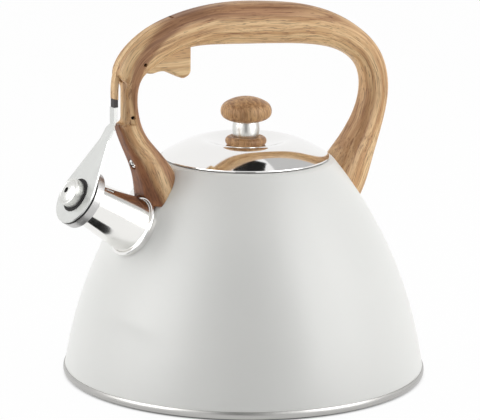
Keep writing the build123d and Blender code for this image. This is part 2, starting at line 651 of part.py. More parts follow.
def lever_region(bottom_front, bottom_back):
    """Outline of the lever's stretch of the front bend, from its lower end to its tail."""
    inner = [station_point(number, -LEVER_THICKNESS) for number in (5, 6, SHOULDER)]
    start = flat(LEVER_FRONT + LEVER_THICKNESS, bottom_back)
    front, back = from_lever(-LEVER_TAIL, -LEVER_HEEL), from_lever(LEVER_TAIL, -LEVER_HEEL)
    under = Spline(start, *inner, front)
    outside = LEVER_FRONT - LEVER_MARGIN
    rest = Polyline(front, back, from_lever(LEVER_TAIL, GRIP_DEPTH), flat(outside, LEVER_AXIS.Z + GRIP_DEPTH),
                    flat(outside, bottom_front + LEVER_SLANT), start)
    return Face(Wire([under, *rest.edges()]))


def lever_bar():
    """Wood-look lever, flush with the outside of the front bend, hinged at its top end."""
    face = lever_region(LEVER_END, LEVER_END - LEVER_SLANT)
    bar = slab(face, LEVER_WIDTH) & handle_blank()
    bar = bar + cross_rod(LEVER_AXIS, LEVER_BOSS_RADIUS, LEVER_WIDTH)
    near = OPENING_SIDE * (SEAT / 2)
    far = OPENING_SIDE * (SEAT / 2 + LEVER_LUG)
    end = TOWARDS_LEVER * (NOSE_REACH - 3 * TRIGGER_NOSE_RADIUS / 2 - CENTRES.length)
    lug = outline(LEVER_AXIS + near, LEVER_AXIS + near + end, LEVER_AXIS + far + end, LEVER_AXIS + far)
    bar += slab(lug, LEVER_WIDTH)
    bar -= cross_rod(LEVER_AXIS, PIN_RADIUS + PIN_FIT, FOOT_WIDTH)
    return bar - tongue_peg(PEG_LENGTH + FIT, FIT)


def tongue_peg(length, grow=0.0):
    """Tenon of the nylon tongue inside the lever."""
    middle = flat(LEVER_FRONT + LEVER_THICKNESS / 2, LEVER_END - LEVER_SLANT)
    plane = Plane(origin=middle, x_dir=(0, 1, 0), z_dir=(0, 0, 1))
    return extrude(plane * Rectangle(PEG_WIDTH + 2 * grow, PEG_SHEET + 2 * grow), length + LEVER_SLANT)


def lever_tongue():
    """Bare nylon end of the lever, with tenons into the lever and into the steel sleeve."""
    inner = LEVER_FRONT + LEVER_THICKNESS
    rise = 2 * LEVER_SLANT * LEVER_THICKNESS / (LEVER_THICKNESS + LEVER_MARGIN)
    face = outline(flat(inner, SLEEVE_TOP), flat(inner, LEVER_END - LEVER_SLANT - FIT),
                   flat(LEVER_FRONT, LEVER_END - LEVER_SLANT + rise - FIT), flat(LEVER_FRONT, SLEEVE_TOP))
    stub = slab(face, TONGUE_WIDTH)
    depth = SLEEVE_FRONT + ARM_SHEET + FIT + PEG_SHEET / 2
    lower = Plane(origin=flat(depth, ARM_BEND + SLEEVE_FOOT), x_dir=(0, 1, 0), z_dir=(0, 0, 1))
    tenon = extrude(lower * Rectangle(PEG_WIDTH, PEG_SHEET), SLEEVE_TOP - ARM_BEND)
    return stub + tongue_peg(PEG_LENGTH) + tenon


def whistle_arm():
    """Pressed steel arm: sleeve round the tongue, a bend, and a strip that widens into a round plate."""
    back_x = SLEEVE_FRONT + ARM_SHEET
    foot = SPOUT_UP * -2 * ARM_PLATE_RADIUS
    front_plate = SPOUT_ROOT + SPOUT_OUT * PLATE_FRONT
    side = outline(PLATE_CENTER + foot, front_plate + foot, flat(SLEEVE_FRONT, ARM_BEND),
                   flat(SLEEVE_FRONT, SLEEVE_TOP), flat(back_x, SLEEVE_TOP),
                   flat(back_x, plane_height(PLATE_BACK, back_x)))
    strip = slab(side, 4 * ARM_PLATE_RADIUS)
    bend = (flat(SLEEVE_FRONT, ARM_BEND) - front_plate).dot(SPOUT_UP)
    top = (flat(back_x, SLEEVE_TOP) - front_plate).dot(SPOUT_UP) + SLEEVE_LENGTH
    touch = ARM_PLATE_RADIUS * ARM_FLANK
    flank = sqrt(ARM_PLATE_RADIUS**2 - touch**2)
    half = SLEEVE_WIDTH / 2
    right = [(flank, touch), (ARM_HALF_WIDTH, bend - ARM_WAIST), (ARM_HALF_WIDTH, bend - ARM_FLARE),
             (half, bend), (half, top)]
    left = [(-x, y) for x, y in reversed(right)]
    shape = Circle(ARM_PLATE_RADIUS) + make_face(Polyline(*right, *left, close=True))
    shape -= Circle(WHISTLE_RADIUS + GROMMET_WALL)
    plane = Plane(origin=PLATE_CENTER - SPOUT_OUT * SPOUT_LENGTH, x_dir=(0, -1, 0), z_dir=SPOUT_OUT)
    arm = strip & extrude(plane * shape, 2 * SPOUT_LENGTH)
    cheek = slab(outline(flat(SLEEVE_FRONT, ARM_BEND), flat(SLEEVE_FRONT, SLEEVE_TOP),
                         flat(SLEEVE_FRONT + SLEEVE_DEPTH, SLEEVE_TOP),
                         flat(SLEEVE_FRONT + SLEEVE_DEPTH, ARM_BEND + SLEEVE_FOOT)), CHEEK_SHEET)
    offset = Vector(0, half - CHEEK_SHEET / 2, 0)
    return arm + Pos(offset) * cheek + Pos(offset * -1) * cheek


def whistle_cap():
    """Steel cup that closes the spout's mouth, with a steam hole."""
    inner = CAP_RADIUS - SHEET
    skirt = CAP_FACE - CAP_SKIRT
    return spout_turned((inner, skirt), (CAP_RADIUS, skirt), (CAP_RADIUS, GASKET_FACE),
                        (STEAM_HOLE, GASKET_FACE), (STEAM_HOLE, CAP_FACE), (inner, CAP_FACE))


def whistle_gasket():
    """Black silicone disc between the cap and the arm's plate."""
    outer = CAP_RADIUS - GASKET_INSET
    return spout_turned((STEAM_HOLE, GASKET_FACE), (outer, GASKET_FACE), (outer, PLATE_BACK),
                        (STEAM_HOLE, PLATE_BACK))


def whistle_grommet():
    """Black silicone ring round the whistle in the arm's plate."""
    inner = WHISTLE_RADIUS + FIT
    outer = WHISTLE_RADIUS + GROMMET_WALL - FIT
    front = PLATE_FRONT + GROMMET_PROUD
    return spout_turned((inner, PLATE_BACK), (outer, PLATE_BACK), (outer, front), (inner, front))


def whistle_cup():
    """Domed steel barrel of the whistle with its sounding hole."""
    rim = PLATE_FRONT + WHISTLE_LENGTH
    crown = rim + WHISTLE_CROWN
    inner = WHISTLE_RADIUS - SHEET
    edge = WHISTLE_RADIUS - WHISTLE_ROUNDING
    halfway = ((edge + WHISTLE_HOLE) / 2, rim + WHISTLE_CROWN * CROWN_FULLNESS)
    return spout_turned((inner, PLATE_BACK), (WHISTLE_RADIUS, PLATE_BACK),
                        (WHISTLE_RADIUS, rim - WHISTLE_ROUNDING), (edge, rim), halfway, (WHISTLE_HOLE, crown),
                        (WHISTLE_HOLE, crown - SHEET), (halfway[0], halfway[1] - SHEET), (inner, rim - SHEET))


def whistle_plate():
    """Rear plate of the whistle, with the second hole."""
    outer = WHISTLE_RADIUS - SHEET - FIT
    return spout_turned((WHISTLE_HOLE, PLATE_BACK), (outer, PLATE_BACK), (outer, PLATE_BACK + SHEET),
                        (WHISTLE_HOLE, PLATE_BACK + SHEET))


# Heights of the stacked lid pieces
LID_UNDERSIDE = BODY_HEIGHT + FIT
LID_SHOULDER = LID_UNDERSIDE + LID_EDGE
LID_CREST = BODY_HEIGHT + LID_RISE
KNOB_SEAT = LID_CREST - LID_DISH
FERRULE_FOOT = KNOB_SEAT + ROSETTE_HEIGHT
KNOB_FOOT = FERRULE_FOOT + FERRULE_HEIGHT


def lid_cone(radius, sheet=0.0):
    """Height of the lid's cone at a radius, or of its underside."""
    slope = radians(LID_SLOPE)
    return LID_SHOULDER + (LID_RADIUS - radius) * tan(slope) - sheet / cos(slope)


def lid_curve(sheet):
    """Edges of the lid's top, or of its underside a sheet lower, from the edge to the knob seat."""
    slope = radians(LID_SLOPE)
    centre = LID_CREST - LID_CREST_ROUNDING
    foot = centre + LID_CREST_ROUNDING * cos(slope)
    crest = LID_RADIUS - LID_CREST_ROUNDING * sin(slope) - (foot - LID_SHOULDER) / tan(slope)
    rounding = LID_CREST_ROUNDING - sheet
    turns = (slope, slope / 2, 0)
    bend = [flat(crest + rounding * sin(turn), centre + rounding * cos(turn)) for turn in turns]
    start = LID_RADIUS - sheet
    cone = Line(flat(start, lid_cone(start, sheet)), bend[0])
    dish = Spline(bend[2], flat(ROSETTE_RADIUS, KNOB_SEAT - sheet), tangents=(flat(-1, 0), flat(-1, 0)))
    return [cone, ThreePointArc(*bend), dish]


def lid_shell():
    """Polished lid: plain edge, cone, rounded crest and a shallow dish round the knob."""
    hole = KNOB_SCREW_RADIUS + FIT
    inner = LID_RADIUS - SHEET
    middle = path((ROSETTE_RADIUS, KNOB_SEAT), (hole, KNOB_SEAT), (hole, KNOB_SEAT - SHEET),
                  (ROSETTE_RADIUS, KNOB_SEAT - SHEET))
    edge = path((inner, lid_cone(inner, SHEET)), (inner, LID_UNDERSIDE), (LID_RADIUS, LID_UNDERSIDE),
                (LID_RADIUS, LID_SHOULDER))
    return turned(*lid_curve(0), *middle, *lid_curve(SHEET), *edge)


def lid_skirt():
    """Ring under the lid that drops into the neck of the mouth."""
    top = lid_cone(LID_SKIRT_RADIUS, SHEET) - FIT
    bottom = LID_UNDERSIDE - LID_SKIRT_DEPTH
    inner = LID_SKIRT_RADIUS - SHEET
    return turned(*path((inner, bottom), (LID_SKIRT_RADIUS, bottom), (LID_SKIRT_RADIUS, top), (inner, top),
                        (inner, bottom)))


def knob_rosette():
    """Wood-look disc between the lid and the ferrule."""
    hole = KNOB_SCREW_RADIUS + FIT
    low = ROSETTE_RADIUS - ROSETTE_TUCK
    top = FERRULE_RADIUS + ROSETTE_LEDGE
    waist = flat(ROSETTE_RADIUS, KNOB_SEAT + ROSETTE_WAIST)
    side = ThreePointArc(flat(low, KNOB_SEAT), waist, flat(top, FERRULE_FOOT))
    return turned(side, *path((top, FERRULE_FOOT), (hole, FERRULE_FOOT), (hole, KNOB_SEAT), (low, KNOB_SEAT)))


def knob_ferrule():
    """Polished barrel-shaped sleeve under the knob."""
    hole = KNOB_SCREW_RADIUS + FIT
    side = swell(FERRULE_RADIUS, FERRULE_FOOT, KNOB_FOOT, FERRULE_SWELL)
    rest = path((FERRULE_RADIUS, KNOB_FOOT), (hole, KNOB_FOOT), (hole, FERRULE_FOOT),
                (FERRULE_RADIUS, FERRULE_FOOT))
    return turned(side, *rest)


def knob():
    """Wood-look mushroom knob, blind-drilled for its screw."""
    waist = KNOB_FOOT + KNOB_WAIST
    crown = KNOB_FOOT + KNOB_HEIGHT
    run = KNOB_RADIUS - KNOB_ROUNDING
    rise = crown - waist
    dome = (run**2 + rise**2 - KNOB_ROUNDING**2) / (2 * (rise - KNOB_ROUNDING))
    outward = flat(run, dome - rise).normalized()
    turn = flat(run, waist) + outward * KNOB_ROUNDING
    edge = Edge.make_tangent_arc(flat(KNOB_RADIUS, waist), flat(0, 1), turn)
    cap = Edge.make_tangent_arc(turn, flat(-outward.Z, outward.X), flat(0, crown))
    flare = (flat(cos(radians(KNOB_FLARE)), sin(radians(KNOB_FLARE))), flat(0, 1))
    lower = Spline(flat(KNOB_NECK_RADIUS, KNOB_FOOT), flat(KNOB_RADIUS, waist), tangents=flare)
    hole = KNOB_SCREW_RADIUS + FIT
    drill = KNOB_FOOT + KNOB_SCREW_BITE + FIT
    inside = path((0, crown), (0, drill), (hole, drill), (hole, KNOB_FOOT), (KNOB_NECK_RADIUS, KNOB_FOOT))
    return turned(lower, edge, cap, *inside)


def knob_washer():
    """Washer between the knob's screw and the lid."""
    top = KNOB_SEAT - SHEET
    ring = extrude(Circle(WASHER_RADIUS) - Circle(KNOB_SCREW_RADIUS + FIT), -WASHER_SHEET)
    return Pos(0, 0, top) * ring


def knob_screw():
    """Screw that draws the knob, ferrule and rosette on to the lid."""
    seat = KNOB_SEAT - SHEET - WASHER_SHEET
    head = rod(flat(0, seat - SCREW_HEAD_HEIGHT), flat(0, seat), 2 * KNOB_SCREW_RADIUS)
    return head + rod(flat(0, seat), flat(0, KNOB_FOOT + KNOB_SCREW_BITE), KNOB_SCREW_RADIUS)


PIECES = {
    "body_shell": body_shell,
    "base_pan": base_pan,
    "heat_spreader": heat_spreader,
    "base_cap": base_cap,
    "spout_tube": spout_tube,
    "spout_collar": spout_collar,
    "handle": handle,
    "front_bracket": front_bracket,
    "rear_bracket": rear_bracket,
    "front_screw": lambda: fixing_screw(FRONT_SCREW),
    "rear_screw": lambda: fixing_screw(REAR_SCREW),
    "leg_pin": lambda: pin_across(LEG_PIN, 4),
    "trigger_pin": lambda: pin_across(TRIGGER_AXIS, SHOULDER),
    "lever_pin": lever_pin,
    "trigger": trigger,
    "return_spring": return_spring,
    "lever_bar": lever_bar,
    "lever_tongue": lever_tongue,
    "whistle_arm": whistle_arm,
    "whistle_cap": whistle_cap,
    "whistle_gasket": whistle_gasket,
    "whistle_grommet": whistle_grommet,
    "whistle_cup": whistle_cup,
    "whistle_plate": whistle_plate,
    "lid_shell": lid_shell,
    "lid_skirt": lid_skirt,
    "knob_rosette": knob_rosette,
    "knob_ferrule": knob_ferrule,
    "knob": knob,
    "knob_washer": knob_washer,
    "knob_screw": knob_screw,
}

os.makedirs("parts", exist_ok=True)
for name, make in PIECES.items():
    export_step(make(), f"parts/{name}.step")

print("trigger axis", TRIGGER_AXIS, "lever axis", LEVER_AXIS, "leg pin", LEG_PIN)
print("plate centre", PLATE_CENTER, "arm bend", ARM_BEND, "lever end", LEVER_END)
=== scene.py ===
# %% [markdown]
# # A whistling kettle for the hob
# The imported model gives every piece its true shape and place, in metres, with the
# base of the kettle on the floor, the spout towards -X and the handle in the plane
# Y = 0.  This lesson dresses it: a studio, then the finishes, then the few pieces that
# want a finer mesh than the model has.

# %% Load the frame
import bmesh
import bpy
from math import cos, pi, radians, sin
from mathutils import Matrix, Vector
from mathutils.bvhtree import BVHTree
from mathutils.kdtree import KDTree


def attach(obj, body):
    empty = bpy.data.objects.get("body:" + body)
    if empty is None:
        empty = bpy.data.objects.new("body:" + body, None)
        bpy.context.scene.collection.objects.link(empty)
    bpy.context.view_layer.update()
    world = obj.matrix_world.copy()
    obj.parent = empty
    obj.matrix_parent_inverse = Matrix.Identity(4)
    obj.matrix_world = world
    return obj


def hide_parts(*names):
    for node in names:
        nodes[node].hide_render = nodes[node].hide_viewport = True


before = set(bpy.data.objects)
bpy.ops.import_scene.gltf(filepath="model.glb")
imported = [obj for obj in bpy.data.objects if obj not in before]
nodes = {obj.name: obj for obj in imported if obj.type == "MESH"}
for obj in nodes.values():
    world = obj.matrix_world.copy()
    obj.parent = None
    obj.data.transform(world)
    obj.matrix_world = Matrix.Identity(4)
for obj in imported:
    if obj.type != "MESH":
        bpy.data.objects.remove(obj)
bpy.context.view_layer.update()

scene = bpy.context.scene

# %% [markdown]
# ## The camera
# The photograph was taken from the front left, a little above the lid, with a long
# lens.  A camera can be aimed with a constraint, but a plain turn about three axes is
# easier to read back: first the small roll, then the tilt, then the turn about Z.

# %% Camera
camera_turn = radians(31.196)
camera_tilt = radians(12.81)
camera_roll = radians(0.59)
camera_place = Vector((-0.8907, -1.4650, 0.4897))
camera = bpy.data.objects.new("camera", bpy.data.cameras.new("camera"))
scene.collection.objects.link(camera)
turn = Matrix.Rotation(-camera_turn, 4, "Z")
tilt = Matrix.Rotation(radians(90) - camera_tilt, 4, "X")
roll = Matrix.Rotation(camera_roll, 4, "Z")
camera.matrix_world = Matrix.Translation(camera_place) @ turn @ tilt @ roll
camera.data.sensor_fit = "HORIZONTAL"
camera.data.sensor_width = 36.0
camera.data.lens = 218.33
scene.camera = camera
print("camera lens", camera.data.lens)

# %% [markdown]
# ## Putting nodes together
# Every finish is a small tree of shader nodes.  One helper makes a node, sets its
# options and fills its sockets: a plain value is set, and another node's output is
# linked.  The rest are short names for the nodes used most, so a tree reads from top to
# bottom like a recipe.

# %% Node helpers
def put(tree, kind, sockets=None, **options):
    made = tree.nodes.new(kind)
    for option, value in options.items():
        setattr(made, option, value)
    for socket, value in (sockets or {}).items():
        if isinstance(value, bpy.types.NodeSocket):
            tree.links.new(value, made.inputs[socket])
        else:
            made.inputs[socket].default_value = value
    return made


def maths(tree, how, *values):
    return put(tree, "ShaderNodeMath", dict(enumerate(values)), operation=how).outputs[0]


def vectors(tree, how, first, second):
    return put(tree, "ShaderNodeVectorMath", {0: first, 1: second}, operation=how).outputs[0]


def span(tree, value, start, end, low, high, smooth=False):
    sockets = {"Value": value, "From Min": start, "From Max": end, "To Min": low, "To Max": high}
    how = "SMOOTHSTEP" if smooth else "LINEAR"
    return put(tree, "ShaderNodeMapRange", sockets, interpolation_type=how).outputs["Result"]


def blend(tree, factor, first, second):
    return put(tree, "ShaderNodeMix", {"Factor": factor, 6: first, 7: second}, data_type="RGBA").outputs[2]


def noise(tree, vector, scale, detail, rough=0.5):
    sockets = {"Vector": vector, "Scale": scale, "Detail": detail, "Roughness": rough}
    return put(tree, "ShaderNodeTexNoise", sockets).outputs


def object_place(tree):
    return put(tree, "ShaderNodeTexCoord").outputs["Object"]


def plain_sight(tree):
    path = put(tree, "ShaderNodeLightPath").outputs
    shiny = maths(tree, "MAXIMUM", path["Is Camera Ray"], path["Is Glossy Ray"])
    return maths(tree, "MAXIMUM", shiny, path["Is Transmission Ray"])


def new_tree(owner):
    owner.use_nodes = True
    owner.node_tree.nodes.clear()
    return owner.node_tree


def srgb(*levels):
    shares = [level / 255 for level in levels]
    linear = [share / 12.92 if share <= 0.04045 else ((share + 0.055) / 1.055) ** 2.4 for share in shares]
    return (*linear, 1.0)


# %% [markdown]
# ## The studio
# The kettle stands in a white tent with a lamp on each side, square to the camera, so
# the round wall is lightest at its two edges and greyest in the middle.  The world gives
# the weaker light between the lamps by its direction.  Rays from the camera, from shiny
# metal and through glass see plain white instead, the paper that the tent is made of.

# %% World light
white = (1.0, 1.0, 1.0, 1.0)
studio_turn = radians(31.2)
front = Vector((-sin(studio_turn), -cos(studio_turn), 0.0))
world = bpy.data.worlds.new("studio")
scene.world = world
tree = new_tree(world)
direction = put(tree, "ShaderNodeTexCoord").outputs["Generated"]
facing = put(tree, "ShaderNodeVectorMath", {0: direction, 1: front}, operation="DOT_PRODUCT").outputs["Value"]
soft = span(tree, facing, -0.2, 0.9, 0.68, 0.36, smooth=True)
level = put(tree, "ShaderNodeMix", {"Factor": plain_sight(tree), 2: soft, 3: 1.0}, data_type="FLOAT")
background = put(tree, "ShaderNodeBackground", {"Color": white, "Strength": level.outputs[0]})
put(tree, "ShaderNodeOutputWorld", {"Surface": background.outputs[0]})
print("world nodes", len(tree.nodes))

# %% [markdown]
# ## Soft boxes
# A soft box is an area lamp.  It is aimed with to_track_quat, which turns the lamp's own
# -Z towards the kettle.  The two side lamps do nearly all the modelling, and the weak one
# overhead only keeps the lid and the top of the grip from going flat.  Mirror rays pass
# the lamps by, so the steel shows the white tent and not three bright windows.

# %% Soft boxes
middle = Vector((0.0, 0.0, 0.11))
right = Vector((cos(studio_turn), -sin(studio_turn), 0.0))
up = Vector((0.0, 0.0, 1.0))
lamp_side = right * 1.15
lamp_rise = up * 0.45


def aimed(place):
    return Matrix.Translation(place) @ (middle - place).to_track_quat("-Z", "Y").to_matrix().to_4x4()


def soft_box(name, place, width, height, power):
    lamp = bpy.data.lights.new(name, "AREA")
    lamp.shape = "RECTANGLE"
    lamp.size = width
    lamp.size_y = height
    lamp.energy = power
    box = bpy.data.objects.new(name, lamp)
    scene.collection.objects.link(box)
    box.matrix_world = aimed(place)
    box.visible_camera = False
    box.visible_glossy = False


soft_box("left_box", middle - lamp_side + lamp_rise, 0.9, 1.0, 5.8)
soft_box("right_box", middle + lamp_side + lamp_rise, 0.9, 1.0, 6.4)
soft_box("top_box", middle + up * 1.3, 0.8, 0.8, 1.6)
print("soft boxes 3")

# %% [markdown]
# ## Cards for the mirrors
# Polished steel is only as interesting as what it mirrors, and so is satin paint. Black
# and grey cards hang out of the picture for the front of the lid, the ferrule and the
# underside of the spout, and a dull one for the right side of the lid. Two bright panels
# stand to the left and right of the camera, and the paint mirrors them softly on both
# sides of its grey middle.

# %% Cards
def card_finish(name, low, high):
    material = bpy.data.materials.new(name)
    tree = new_tree(material)
    felt = put(tree, "ShaderNodeTexNoise", {"Scale": 300.0, "Detail": 2.0}).outputs["Fac"]
    shade = span(tree, felt, 0.0, 1.0, low, high)
    glow = put(tree, "ShaderNodeEmission", {"Color": white, "Strength": shade})
    put(tree, "ShaderNodeOutputMaterial", {"Surface": glow.outputs[0]})
    return material


def card(name, placed, width, height, material):
    shape = bmesh.new()
    bmesh.ops.create_grid(shape, x_segments=1, y_segments=1, size=0.5)
    bmesh.ops.scale(shape, vec=(width, height, 1.0), verts=shape.verts)
    bmesh.ops.transform(shape, matrix=placed, verts=shape.verts)
    data = bpy.data.meshes.new(name)
    shape.to_mesh(data)
    shape.free()
    data.materials.append(material)
    made = bpy.data.objects.new(name, data)
    scene.collection.objects.link(made)
    made.visible_camera = False
    made.visible_diffuse = False
    made.visible_shadow = False


def behind(climb, reach):
    return middle + (up * sin(radians(climb)) - front * cos(radians(climb))) * reach


black_card = card_finish("black_card", 0.012, 0.02)
grey_card = card_finish("grey_card", 0.10, 0.14)
dull_card = card_finish("dull_card", 0.56, 0.60)
bright_card = card_finish("bright_card", 4.0, 4.2)
card("ceiling_card", aimed(behind(66, 1.3) + right * 0.75), 1.2, 0.8, dull_card)
card("lid_card", aimed(behind(75, 0.9) + right * 0.03), 0.26, 0.2, black_card)
card("ferrule_card", aimed(middle + front * 0.35), 0.16, 0.44, grey_card)
card("spout_card", Matrix.Translation((-0.117, -0.020, 0.05)), 0.021, 0.05, black_card)
panel_angle = radians(62)
for name, side in (("left_panel", -1), ("right_panel", 1)):
    towards = front * cos(panel_angle) + right * side * sin(panel_angle)
    card(name, aimed(middle + towards * 1.3 + up * 0.6), 1.1, 1.3, bright_card)
print("cards ready")

# %% [markdown]
# ## The floor
# A sheet of white paper.  A diffuse shader alone would show grey, so most of what the
# camera sees is plain white glow, and the rest is the paper with the kettle's shadow on
# it.  Right under the base rim the glow is weak, which leaves the thin dark line of contact.

# %% Floor
contact_start = 0.106
contact_end = 0.1115
shape = bmesh.new()
bmesh.ops.create_circle(shape, cap_ends=True, segments=64, radius=6.0)
data = bpy.data.meshes.new("floor")
shape.to_mesh(data)
shape.free()
floor = bpy.data.objects.new("floor", data)
scene.collection.objects.link(floor)
paper = bpy.data.materials.new("floor_paper")
tree = new_tree(paper)
where = object_place(tree)
fibre = noise(tree, where, 400.0, 2.0)["Fac"]
matt = put(tree, "ShaderNodeBsdfDiffuse", {"Color": span(tree, fibre, 0.0, 1.0, 0.86, 0.90)})
glow = put(tree, "ShaderNodeEmission", {"Color": white, "Strength": 1.0})
radius = put(tree, "ShaderNodeVectorMath", {0: where}, operation="LENGTH").outputs["Value"]
clear = span(tree, radius, contact_start, contact_end, 0.0, 0.97, smooth=True)
share = maths(tree, "MULTIPLY", plain_sight(tree), clear)
mixed = put(tree, "ShaderNodeMixShader", {"Fac": share, 1: matt.outputs[0], 2: glow.outputs[0]})
put(tree, "ShaderNodeOutputMaterial", {"Surface": mixed.outputs[0]})
data.materials.append(paper)
print("floor ready")

# %% [markdown]
# ## Shared effects
# Grain, brush marks and fine grit come back on several finishes.  Each is a node
# group with named inputs, built once, so a finish only chooses its own numbers.

# %% Group helper
FLOAT, COLOUR, VECTOR = "NodeSocketFloat", "NodeSocketColor", "NodeSocketVector"


def new_group(name, inputs, outputs):
    group = bpy.data.node_groups.new(name, "ShaderNodeTree")
    for label, kind, value in inputs:
        socket = group.interface.new_socket(label, in_out="INPUT", socket_type=kind)
        if value is not None:
            socket.default_value = value
    for label, kind in outputs:
        group.interface.new_socket(label, in_out="OUTPUT", socket_type=kind)
    return group, put(group, "NodeGroupInput").outputs


surface_outputs = [("Cloud", FLOAT), ("Value", FLOAT), ("Height", FLOAT)]

# %% Fine grit: soft clouds and a small even grain
grit, given = new_group("fine_grit",
                        [("Vector", VECTOR, None), ("Cloud size", FLOAT, 30.0), ("Grain size", FLOAT, 900.0),
                         ("Low", FLOAT, 0.4), ("High", FLOAT, 0.6)], surface_outputs)
cloud = noise(grit, given["Vector"], given["Cloud size"], 3.0)["Fac"]
grain = noise(grit, given["Vector"], given["Grain size"], 2.0)["Fac"]
value = span(grit, cloud, 0.3, 0.7, given["Low"], given["High"])
put(grit, "NodeGroupOutput", {"Cloud": cloud, "Value": value, "Height": grain})

# %% Brush marks: noise drawn out along one direction
brush, given = new_group("brush_marks",
                         [("Vector", VECTOR, None), ("Stretch", VECTOR, (10.0, 10.0, 2000.0)),
                          ("Low", FLOAT, 0.25), ("High", FLOAT, 0.4)], surface_outputs)
drawn = vectors(brush, "MULTIPLY", given["Vector"], given["Stretch"])
lines = noise(brush, drawn, 1.0, 4.0, 0.6)["Fac"]
value = span(brush, lines, 0.3, 0.7, given["Low"], given["High"])
put(brush, "NodeGroupOutput", {"Cloud": lines, "Value": value, "Height": lines})
print("groups", grit.name, brush.name)

# %% [markdown]
# ## The wood print
# The handle is moulded plastic under a printed film that looks like oak.  The print
# has broad brown bands, narrow dark streaks and short pores, all drawn out along the
# grain.  The group takes a grain vector, metres along, across and through the piece,
# so the same print can follow the bent handle or run straight through the knob.

# %% Wood print group
wood, given = new_group("wood_print",
                        [("Grain", VECTOR, None), ("Light", COLOUR, srgb(235, 200, 151)),
                         ("Mid", COLOUR, srgb(197, 151, 104)), ("Dark", COLOUR, srgb(106, 64, 41)),
                         ("Heart", COLOUR, srgb(156, 102, 64)), ("Heart and painted shade", FLOAT, 0.0), ("Shift", FLOAT, 0.0)],
                        [("Color", COLOUR), ("Rough", FLOAT), ("Height", FLOAT)])
wander = noise(wood, given["Grain"], 28.0, 1.0)["Color"]
centred = vectors(wood, "SUBTRACT", wander, (0.5, 0.5, 0.5))
offset = vectors(wood, "MULTIPLY", centred, (0.0, 0.006, 0.006))
bent = vectors(wood, "ADD", given["Grain"], offset)
moved = put(wood, "ShaderNodeCombineXYZ", {"X": given["Shift"], "Y": given["Shift"]}).outputs[0]
bent = vectors(wood, "ADD", bent, moved)


def grain_marks(stretch, detail, rough, start, end):
    drawn = vectors(wood, "MULTIPLY", bent, stretch)
    return span(wood, noise(wood, drawn, 1.0, detail, rough)["Fac"], start, end, 0.0, 1.0, smooth=True)


bands = grain_marks((10.0, 330.0, 200.0), 4.0, 0.62, 0.38, 0.64)
streaks = grain_marks((26.0, 950.0, 560.0), 4.0, 0.7, 0.50, 0.68)
pores = grain_marks((130.0, 2000.0, 1200.0), 2.0, 0.5, 0.58, 0.68)
mark_strength = 0.6
pale = blend(wood, bands, given["Light"], given["Mid"])
# Brown is the heartwood's colour; on the handle it also stands in for painted shade
brown = blend(wood, bands, given["Heart"], given["Dark"])
colour = blend(wood, given["Heart and painted shade"], pale, brown)
for marks in (streaks, pores):
    colour = blend(wood, maths(wood, "MULTIPLY", marks, mark_strength), colour, given["Dark"])
rough = span(wood, streaks, 0.0, 1.0, 0.42, 0.55)
height = maths(wood, "ADD", streaks, pores)
put(wood, "NodeGroupOutput", {"Color": colour, "Rough": rough, "Height": height})
print("wood print nodes", len(wood.nodes))

# %% [markdown]
# ## The finishes
# A finish starts from one Principled shader.  Most are alike: a group of marks chooses
# between two close tones, sets the roughness and raises a very low relief.  Only the
# numbers differ, so one helper makes them all, and constants go on the shader itself.
# A finish with no strength given has no relief.

# %% Finish helpers
def finish(name, **constants):
    material = bpy.data.materials.new(name)
    tree = new_tree(material)
    shader = put(tree, "ShaderNodeBsdfPrincipled")
    put(tree, "ShaderNodeOutputMaterial", {"Surface": shader.outputs[0]})
    for socket, value in constants.items():
        shader.inputs[socket.replace("_", " ")].default_value = value
    return material, tree, shader


def dress(tree, shader, colour, rough, height, strength, depth):
    tree.links.new(colour, shader.inputs["Base Color"])
    tree.links.new(rough, shader.inputs["Roughness"])
    if strength:
        bump = put(tree, "ShaderNodeBump", {"Height": height, "Strength": strength, "Distance": depth})
        tree.links.new(bump.outputs[0], shader.inputs["Normal"])


def marked_finish(name, group, settings, tones, strength=0.0, depth=0.0001, **constants):
    material, tree, shader = finish(name, **constants)
    marks = put(tree, "ShaderNodeGroup", {"Vector": object_place(tree), **settings}, node_tree=group).outputs
    colour = blend(tree, marks["Cloud"], *[srgb(*tone) for tone in tones])
    dress(tree, shader, colour, marks["Value"], marks["Height"], strength, depth)
    return material


def gritty(cloud_size, grain_size, low, high):
    return {"Cloud size": cloud_size, "Grain size": grain_size, "Low": low, "High": high}


def brushed(stretch, low, high):
    return {"Stretch": stretch, "Low": low, "High": high}


# %% [markdown]
# ## Paint
# The wall has a satin off-white paint.  Its gloss is soft, so the roughness is
# high enough to blur the two panels into broad light bands, and the grain is hardly felt.

# %% Satin paint of the wall
paint = marked_finish("satin_paint", grit, gritty(18.0, 1400.0, 0.33, 0.40),
                      [(226, 227, 224), (231, 231, 228)], 0.06, 0.0002, Specular_IOR_Level=0.5)
print("finish", paint.name)

# %% [markdown]
# ## Steel
# The bare steel differs only in its polish: a mirror on the lid, the collar and the
# screws, buffed on the spout, drawn and left soft on the whistle's barrel and the ferrule,
# brushed round the base and along the whistle's arm, and dull from the mill on the
# whistle's cap, the brackets and the inner pieces.  The two cross pins are blackened, and
# the heat spreader is dull aluminium.

